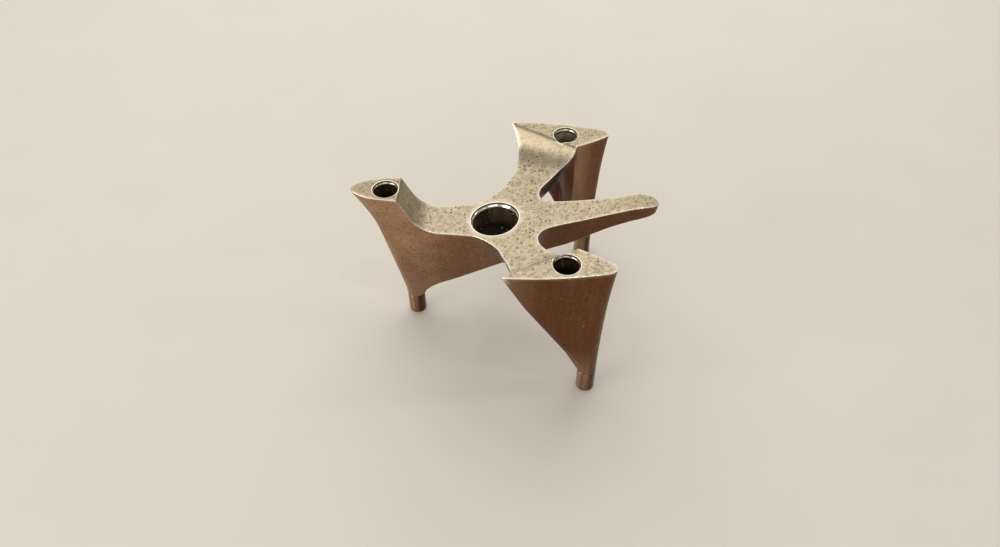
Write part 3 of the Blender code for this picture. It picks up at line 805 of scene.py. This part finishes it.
# ---- materials ---------------------------------------------------------------
class Graph:
    """Builds a node material from small expressions."""

    def __init__(self, name):
        self.material = bpy.data.materials.new(name)
        self.material.use_nodes = True
        self.tree = self.material.node_tree
        self.shader = self.tree.nodes["Principled BSDF"]
        self.place = self.add("ShaderNodeTexCoord").outputs["Object"]

    def add(self, kind, inputs=None, **settings):
        """A new node with its inputs linked or set, by name or by number."""
        node = self.tree.nodes.new(kind)
        for name, value in settings.items():
            setattr(node, name, value)
        for name, value in (inputs or {}).items():
            self.put(node.inputs[name], value)
        return node

    def put(self, socket, value):
        if isinstance(value, bpy.types.NodeSocket):
            self.tree.links.new(value, socket)
        else:
            socket.default_value = value

    def math(self, operation, *values):
        node = self.add("ShaderNodeMath", operation=operation)
        for socket, value in zip(node.inputs, values):
            self.put(socket, value)
        return node.outputs[0]

    def span(self, value, low, high, to_low=0.0, to_high=1.0):
        """Maps low..high to to_low..to_high smoothly, and holds the ends."""
        inputs = {"Value": value, "From Min": low, "From Max": high, "To Min": to_low, "To Max": to_high}
        return self.add("ShaderNodeMapRange", inputs, interpolation_type="SMOOTHSTEP").outputs[0]

    def noise(self, size_mm, detail=3.0, roughness=0.5, place=None):
        """Soft noise from 0 to 1 with features of about this size."""
        inputs = {"Vector": place or self.place, "Scale": 1000.0 / size_mm, "Detail": detail,
                  "Roughness": roughness}
        return self.add("ShaderNodeTexNoise", inputs).outputs["Fac"]

    def facing(self):
        """The surface's direction: its part to the right, and its part upwards."""
        normal = self.add("ShaderNodeNewGeometry").outputs["Normal"]
        parts = self.add("ShaderNodeSeparateXYZ", {0: normal})
        return parts.outputs[0], parts.outputs[2]

    def position(self):
        """Where the surface is, in metres: along to the right, back, and height."""
        return self.add("ShaderNodeSeparateXYZ", {0: self.place}).outputs

    def scaled(self, vector, factors):
        """The vector with each of its parts scaled, to stretch or flatten a pattern."""
        inputs = {0: vector, 1: factors}
        return self.add("ShaderNodeVectorMath", inputs, operation="MULTIPLY").outputs[0]

    def attribute(self, name):
        """A value that the mesh stores at its vertices."""
        return self.add("ShaderNodeAttribute", attribute_name=name).outputs["Fac"]

    def mix(self, share, first, second):
        """Goes from the first colour to the second as the share goes from 0 to 1."""
        node = self.add("ShaderNodeMix", data_type="RGBA")
        self.put(node.inputs["Factor"], share)
        for socket, value in ((node.inputs[6], first), (node.inputs[7], second)):
            self.put(socket, value if isinstance(value, bpy.types.NodeSocket) else (*value, 1.0))
        return node.outputs[2]

    def pits(self, size_mm, share, warp_mm=0.35):
        """Irregular pits, one in a share of the cells of a warped cell pattern."""
        wobble = self.add("ShaderNodeTexNoise", {"Vector": self.place, "Scale": 1000.0 / (size_mm * 0.6)})
        moved = self.add("ShaderNodeVectorMath", {0: wobble.outputs["Color"], 1: (0.5, 0.5, 0.5)},
                         operation="SUBTRACT").outputs[0]
        moved = self.add("ShaderNodeVectorMath", {0: moved, "Scale": warp_mm * 2.0 * MM},
                         operation="SCALE").outputs[0]
        at = self.add("ShaderNodeVectorMath", {0: self.place, 1: moved}, operation="ADD").outputs[0]
        cells = self.add("ShaderNodeTexVoronoi", {"Vector": at, "Scale": 1000.0 / size_mm})
        chance = self.add("ShaderNodeSeparateColor", {0: cells.outputs["Color"]})
        reach = self.span(chance.outputs[0], 1.0 - share, 1.0, 0.0, 0.34)
        edge = self.math("SUBTRACT", reach, cells.outputs["Distance"])
        return self.span(edge, -0.02, 0.1)

    def finish(self, colour, roughness, bump=None, metallic=1.0):
        """Wires the surface up and gives the material."""
        self.put(self.shader.inputs["Base Color"], colour)
        self.put(self.shader.inputs["Roughness"], roughness)
        self.shader.inputs["Metallic"].default_value = metallic
        if bump is not None:
            self.put(self.shader.inputs["Normal"], bump)
        return self.material

    def bump(self, height, distance_mm, strength=1.0, below=None):
        inputs = {"Height": height, "Distance": distance_mm * MM, "Strength": strength}
        if below is not None:
            inputs["Normal"] = below
        return self.add("ShaderNodeBump", inputs).outputs[0]


def bore_halo(g, top):
    """The ragged bright ring on the top around the hub's bore: polish, and a painted highlight."""
    hub = g.add("ShaderNodeVectorMath", {0: g.place, 1: (hub_x(), 0.0, 0.0)}, operation="SUBTRACT")
    flat = g.scaled(hub.outputs[0], (1.0, 1.0, 0.0))
    radius = g.add("ShaderNodeVectorMath", {0: flat}, operation="LENGTH").outputs["Value"]
    ragged = g.math("ADD", radius, g.math("MULTIPLY", g.math("SUBTRACT", g.noise(2.4), 0.5), 0.003))
    halo = g.math("MULTIPLY", g.span(ragged, 0.0122, 0.0154, 1.0, 0.0), top)
    return g.math("MULTIPLY", halo, g.span(g.noise(1.8, 3.0), 0.35, 0.65, 0.45, 0.9))


def top_pits(g, top, polish_and_highlight):
    """Casting pits on the top, fewer where it is steep and none where it is polished and painted bright.
    """
    pits = g.math("MULTIPLY", g.pits(1.9, 0.7, 0.35), 0.95)
    pits = g.math("MAXIMUM", pits, g.math("MULTIPLY", g.pits(1.1, 0.85, 0.2), 0.9))
    blots = g.span(g.noise(1.6, 4.0, 0.75), 0.50, 0.66, 0.0, 0.6)
    pits = g.math("MAXIMUM", pits, blots)
    upwards = g.facing()[1]
    along = g.position()[0]
    level = g.span(upwards, 0.45, 0.85, 0.3, 1.0)
    level = g.math("MAXIMUM", level, g.span(along, -0.03, -0.02, 1.0, 0.0))
    clear = g.math("SUBTRACT", 1.0, polish_and_highlight)
    return g.math("MULTIPLY", g.math("MULTIPLY", pits, clear), g.math("MULTIPLY", top, level))


def face_colour(g, mottle, cloud):
    """The pale top, greener towards the heads and the handle's tip."""
    along, back, _ = g.position()
    face = g.mix(g.span(mottle, 0.35, 0.65), (0.38, 0.32, 0.22), (0.52, 0.45, 0.32))
    face = g.mix(g.span(cloud, 0.35, 0.65, 0.0, 0.25), face, (0.44, 0.365, 0.275))
    face = g.mix(g.span(g.noise(5.0, 2.0), 0.4, 0.65, 0.0, 0.3), face, (0.49, 0.39, 0.30))
    ends = g.math("MAXIMUM", g.span(along, -0.06, -0.035, 1.0, 0.0), g.span(along, 0.045, 0.075))
    ends = g.math("MAXIMUM", ends, g.span(back, 0.03, 0.05, 0.0, 0.55))
    return g.mix(g.math("MULTIPLY", ends, 0.85), face, (0.335, 0.28, 0.175))


def wall_colour(g, cloud, top):
    """The brown sides, partly a painted reflection: painted light on the left, painted shade to the right
    and below, with painted tints of light and shade where they differ.
    """
    along, back, height = g.position()
    right, upwards = g.facing()
    streaks = g.noise(3.2, 3.0, 0.6, g.scaled(g.place, (1.0, 1.0, 0.1)))
    # painted light and reflection: lighter on the left, deep brown to the right
    wall = g.mix(g.span(along, -0.055, 0.025), (0.45, 0.27, 0.165), (0.155, 0.062, 0.026))
    wall = g.mix(g.span(cloud, 0.3, 0.7, 0.0, 0.5), wall, (0.15, 0.07, 0.032))
    wall = g.mix(g.span(streaks, 0.45, 0.75, 0.0, 0.08), wall, (0.46, 0.31, 0.20))
    scuffs = g.noise(1.1, 4.0, 0.7)
    wall = g.mix(g.span(scuffs, 0.35, 0.55, 0.45, 0.0), wall, (0.06, 0.03, 0.015))
    wall = g.mix(g.span(scuffs, 0.55, 0.75, 0.0, 0.2), wall, (0.44, 0.30, 0.19))

    # painted shade in the notch at the back leg; painted reflections beside it and at the front corner
    on_back_leg = g.span(back, 0.026, 0.03)
    notch_shade = g.math("MULTIPLY", g.span(along, *NOTCH_END, 0.65, 0.0), on_back_leg)
    beside_notch_reflection = g.math("MULTIPLY", g.span(along, *NOTCH_END), g.span(along, 0.036, 0.046, 0.5, 0.0))
    beside_notch_reflection = g.math("MULTIPLY", beside_notch_reflection, on_back_leg)
    front_corner_reflection = g.math("MULTIPLY", g.span(along, 0.0, 0.02, 0.4, 0.0),
                          g.span(back, -0.045, -0.04, 1.0, 0.0))
    # painted reflection: a lighter tan beside the notch and at the front corner
    wall = g.mix(g.math("MAXIMUM", beside_notch_reflection, front_corner_reflection), wall, (0.40, 0.27, 0.165))
    wall = g.mix(notch_shade, wall, (0.07, 0.024, 0.010))
    # painted light: the lower legs lighter where they face left
    foot = g.math("MULTIPLY", g.span(height, 0.0135, 0.038, 0.85, 0.0), g.span(right, -0.1, 0.5, 1.0, 0.0))
    wall = g.mix(foot, wall, (0.34, 0.21, 0.13))

    # painted shade where the sides face right and where they face down
    wall = g.mix(g.span(right, 0.5, 0.95, 0.0, 0.65), wall, (0.05, 0.025, 0.013))
    wall = g.mix(g.span(upwards, -0.65, -0.15, 0.85, 0.0), wall, (0.05, 0.028, 0.016))
    specks = g.math("MULTIPLY", g.pits(2.8, 0.06, 0.7), 0.2)
    wall = g.mix(specks, wall, (0.50, 0.38, 0.28))
    in_bore = g.math("MULTIPLY", g.math("SUBTRACT", 1.0, top), g.attribute("in_bore"))
    return g.mix(in_bore, wall, (0.50, 0.47, 0.41))


def casting_material():
    """Satin metal: pitted and pale on top, smooth and brown down the sides with painted light and shade,
    polished along edges with a painted highlight.
    """
    g = Graph("satin_casting_metal")
    top = g.attribute("top_face")
    wear_highlight = g.attribute("edge_wear_highlight")
    mottle = g.noise(3.0, 4.0, 0.6)
    cloud = g.noise(15.0, 3.0)
    halo = bore_halo(g, top)
    polish_and_highlight = g.math("MAXIMUM", halo, wear_highlight)
    pits = top_pits(g, top, polish_and_highlight)

    colour = g.mix(top, wall_colour(g, cloud, top), face_colour(g, mottle, cloud))
    colour = g.mix(g.math("MULTIPLY", pits, 0.8), colour, (0.12, 0.10, 0.055))
    # the ring around the hub's bore: polish and a painted highlight
    colour = g.mix(g.math("MULTIPLY", halo, 0.6), colour, (0.62, 0.59, 0.54))
    # bright edges and rims: partly wear, partly a painted highlight
    colour = g.mix(g.math("MULTIPLY", wear_highlight, 0.95), colour, (0.97, 0.90, 0.77))
    # painted shadow in the crease under the heads' inner edges
    colour = g.mix(g.attribute("painted_lip_shadow"), colour, (0.10, 0.08, 0.05))

    rough = g.math("ADD", g.span(mottle, 0.3, 0.7, 0.3, 0.38), g.math("MULTIPLY", top, 0.08))
    rough = g.math("ADD", rough, g.math("MULTIPLY", pits, 0.25))
    rough = g.math("SUBTRACT", rough, g.math("MULTIPLY", polish_and_highlight, 0.14))
    grain = g.bump(g.noise(0.45, 2.0), 0.02, 0.5)
    return g.finish(colour, rough, g.bump(g.math("SUBTRACT", 1.0, pits), 0.1, 0.7, grain))


def cup_material(name, plate, rim, depth, film_and_reflection, dull):
    """Bright plate at the lip with painted glints, drawn lengthways, under a brown film that is partly a
    painted reflection, with painted shade deepening it towards the floor.
    """
    g = Graph(name)
    height = g.position()[2]
    drawn = g.scaled(g.place, (1.0, 1.0, 0.06))
    streaks = g.noise(1.6, 3.0, 0.5, drawn)
    broad = g.noise(6.0, 2.0, 0.5, drawn)
    # the inside's colour: a film, partly a painted reflection
    tones = [tuple(value * part for value in film_and_reflection) for part in (0.5, 1.0)]
    inside = g.mix(g.span(broad, 0.35, 0.65), *tones)
    floor = rim - depth
    # painted shade: deeper towards the cup's floor
    floor_shade = g.span(height, floor + 0.001, floor + 0.012, 1.0, 0.0)
    inside = g.mix(floor_shade, inside, (0.04, 0.032, 0.02))
    share = g.span(height, rim - 0.0024, rim - 0.0012, 0.97, 0.0)
    colour = g.mix(share, plate, inside)
    rough = g.math("ADD", g.span(streaks, 0.3, 0.7, 0.10, 0.22), g.math("MULTIPLY", share, dull))
    rough = g.math("ADD", rough, g.math("MULTIPLY", floor_shade, 0.4))
    # painted glints: bright spots on the lip, with a bump and lower roughness
    glints = g.math("MULTIPLY", g.pits(1.5, 0.4, 0.2), share)
    colour = g.mix(glints, colour, PLATE_AND_GLINT_WHITE)
    rough = g.math("SUBTRACT", rough, g.math("MULTIPLY", glints, 0.25))
    return g.finish(colour, rough, g.bump(glints, 1.5, 1.0, g.bump(streaks, 0.02, 0.5)))


def pin_material():
    """Brown satin pins, the brown partly a painted reflection, ground lengthways, with painted shade to
    the right and a scuffed floor edge.
    """
    g = Graph("ground_pin_metal")
    streaks = g.noise(2.0, 3.0, 0.5, g.scaled(g.place, (1.0, 1.0, 0.05)))
    right = g.facing()[0]
    height = g.position()[2]
    colour = g.mix(g.span(streaks, 0.3, 0.7), (0.28, 0.165, 0.095), (0.46, 0.30, 0.195))
    colour = g.mix(g.span(g.noise(1.0, 4.0, 0.7), 0.35, 0.6, 0.35, 0.0), colour, (0.13, 0.07, 0.04))
    # painted shade on the side facing right
    colour = g.mix(g.span(right, 0.0, 0.5, 0.0, 0.9), colour, (0.05, 0.022, 0.012))
    scuff = g.span(height, 0.0001, 0.0009, 0.4, 0.0)
    colour = g.mix(scuff, colour, (0.50, 0.42, 0.32))
    rough = g.span(streaks, 0.3, 0.7, 0.18, 0.3)
    return g.finish(colour, rough, g.bump(streaks, 0.03, 0.5))


def floor_material():
    """Plain pale card."""
    g = Graph("pale_floor")
    colour = g.mix(g.noise(60.0, 3.0), (0.72, 0.67, 0.60), (0.76, 0.71, 0.64))
    return g.finish(colour, 0.55, None, 0.0)


# ---- stage -------------------------------------------------------------------
def add_floor():
    """A large flat floor at z = 0."""
    mesh = bmesh.new()
    bmesh.ops.create_grid(mesh, x_segments=8, y_segments=8, size=2.5)
    data = bpy.data.meshes.new("floor")
    mesh.to_mesh(data)
    mesh.free()
    data.materials.append(floor_material())
    floor = bpy.data.objects.new("floor", data)
    bpy.context.scene.collection.objects.link(floor)


def add_softbox(name, place, target, size, power, colour=(1.0, 1.0, 1.0)):
    """A rectangular area light that faces the target."""
    data = bpy.data.lights.new(name, "AREA")
    data.shape = "RECTANGLE"
    data.size, data.size_y = size
    data.energy = power
    data.color = colour
    light = bpy.data.objects.new(name, data)
    light.location = place
    light.rotation_mode = "QUATERNION"
    light.rotation_quaternion = (Vector(target) - Vector(place)).to_track_quat("-Z", "Y")
    bpy.context.scene.collection.objects.link(light)


def add_lights():
    """A broad overhead softbox, a pale back wall, a low left window, and small cards and lamps."""
    middle = (0.0, 0.0, 0.06)
    warm = (1.0, 0.965, 0.91)
    add_softbox("overhead", (-0.1, 0.75, 1.2), middle, (2.2, 1.6), 13.5, warm)
    add_softbox("back_wall", (0.0, 1.7, 0.55), middle, (2.6, 0.9), 6.0, warm)
    add_softbox("left_window", (-1.0, -0.6, 0.28), middle, (0.9, 0.55), 6.5, (1.0, 0.98, 0.95))
    add_softbox("right_fill", (0.9, -0.9, 0.35), middle, (0.3, 0.6), 0.5, warm)
    add_softbox("front_card", (0.1, -1.5, 0.85), middle, (1.1, 0.35), 3.0, warm)
    add_softbox("right_strip", (1.2, 0.1, 0.9), middle, (0.12, 1.2), 1.6, warm)
    add_softbox("small_lamp", (0.3, -0.35, 1.3), middle, (0.07, 0.07), 0.7)
    world = bpy.data.worlds.new("studio")
    world.use_nodes = True
    background = world.node_tree.nodes["Background"]
    background.inputs["Color"].default_value = (1.0, 0.96, 0.91, 1.0)
    background.inputs["Strength"].default_value = 0.34
    bpy.context.scene.world = world


def add_camera():
    """The camera at the photograph's angle, aimed from the object's own box."""
    low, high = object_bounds()
    target = (low + high) / 2.0 + Vector(AIM)
    azimuth, elevation, roll = math.radians(AZIMUTH), math.radians(ELEVATION), math.radians(ROLL)
    back = Vector((math.sin(azimuth) * math.cos(elevation), -math.cos(azimuth) * math.cos(elevation),
                   math.sin(elevation)))
    right = (-back).cross(Vector((0.0, 0.0, 1.0))).normalized()
    up = right.cross(-back)
    c, s = math.cos(roll), math.sin(roll)
    right, up = right * c + up * s, up * c - right * s
    data = bpy.data.cameras.new("camera")
    data.sensor_width = SENSOR_WIDTH
    data.lens = LENS
    data.clip_start, data.clip_end = 0.01, 20.0
    camera = bpy.data.objects.new("camera", data)
    turn = Matrix((right, up, back)).transposed().to_4x4()
    camera.matrix_world = Matrix.Translation(target + back * CAMERA_DISTANCE) @ turn
    bpy.context.scene.collection.objects.link(camera)
    bpy.context.scene.camera = camera


def add_cups():
    """The hub's cup and the three small ones, of which the back one is lighter inside, as painted light.
    """
    hub_rim, head_rim = (HUB_TOP - HUB_RECESS) * MM, (HEAD_TOP - HEAD_RECESS) * MM
    hub_depth, head_depth = HUB_CUP_DEPTH * MM, HEAD_CUP_DEPTH * MM
    brown, grey, brass = (0.66, 0.46, 0.27), (0.85, 0.76, 0.58), (0.66, 0.60, 0.46)
    hub = cup_material("hub_cup_plate", PLATE_AND_GLINT_WHITE, hub_rim, hub_depth, brown, 0.24)
    head = cup_material("head_cup_plate", brass, head_rim, head_depth * 0.8, brown, 0.15)
    # painted light: the back cup lighter grey inside, and rougher at the lip
    lit_back = cup_material("lit_back_cup_plate", brass, head_rim, head_depth, grey, 0.5)
    large = cup_profile(HUB_BORE, HUB_CUP_DEPTH, HUB_CUP_WALL, HUB_LIP)
    small = cup_profile(HEAD_BORE, HEAD_CUP_DEPTH, HEAD_CUP_WALL, HEAD_LIP)
    add_turned("hub_cup", large, 96, "center_candle_cup", hub_rim, hub,
               TOP_SLOPE, HUB_CUP_DEPTH)
    for side, plate in (("left", head), ("back", lit_back), ("front", head)):
        add_turned(side + "_cup", small, 64, side + "_candle_cup", head_rim, plate)


def add_pins():
    """The three foot pins."""
    metal = pin_material()
    for side in ("left", "back", "front"):
        add_turned(side + "_pin", pin_profile(), 64, side + "_foot_pin", 0.0, metal)


def build():
    """The camera is aimed at the CAD model, so it comes before the pieces."""
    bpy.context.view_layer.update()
    add_camera()
    add_casting(casting_material())
    add_cups()
    add_pins()
    add_floor()
    add_lights()
    bpy.context.scene.view_settings.view_transform = "Standard"


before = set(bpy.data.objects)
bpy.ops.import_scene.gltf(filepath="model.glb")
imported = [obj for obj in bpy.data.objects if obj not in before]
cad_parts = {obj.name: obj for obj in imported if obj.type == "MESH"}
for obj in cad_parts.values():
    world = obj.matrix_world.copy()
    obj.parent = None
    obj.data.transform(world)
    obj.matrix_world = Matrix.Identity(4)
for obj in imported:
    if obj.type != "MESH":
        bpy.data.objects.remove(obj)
build()
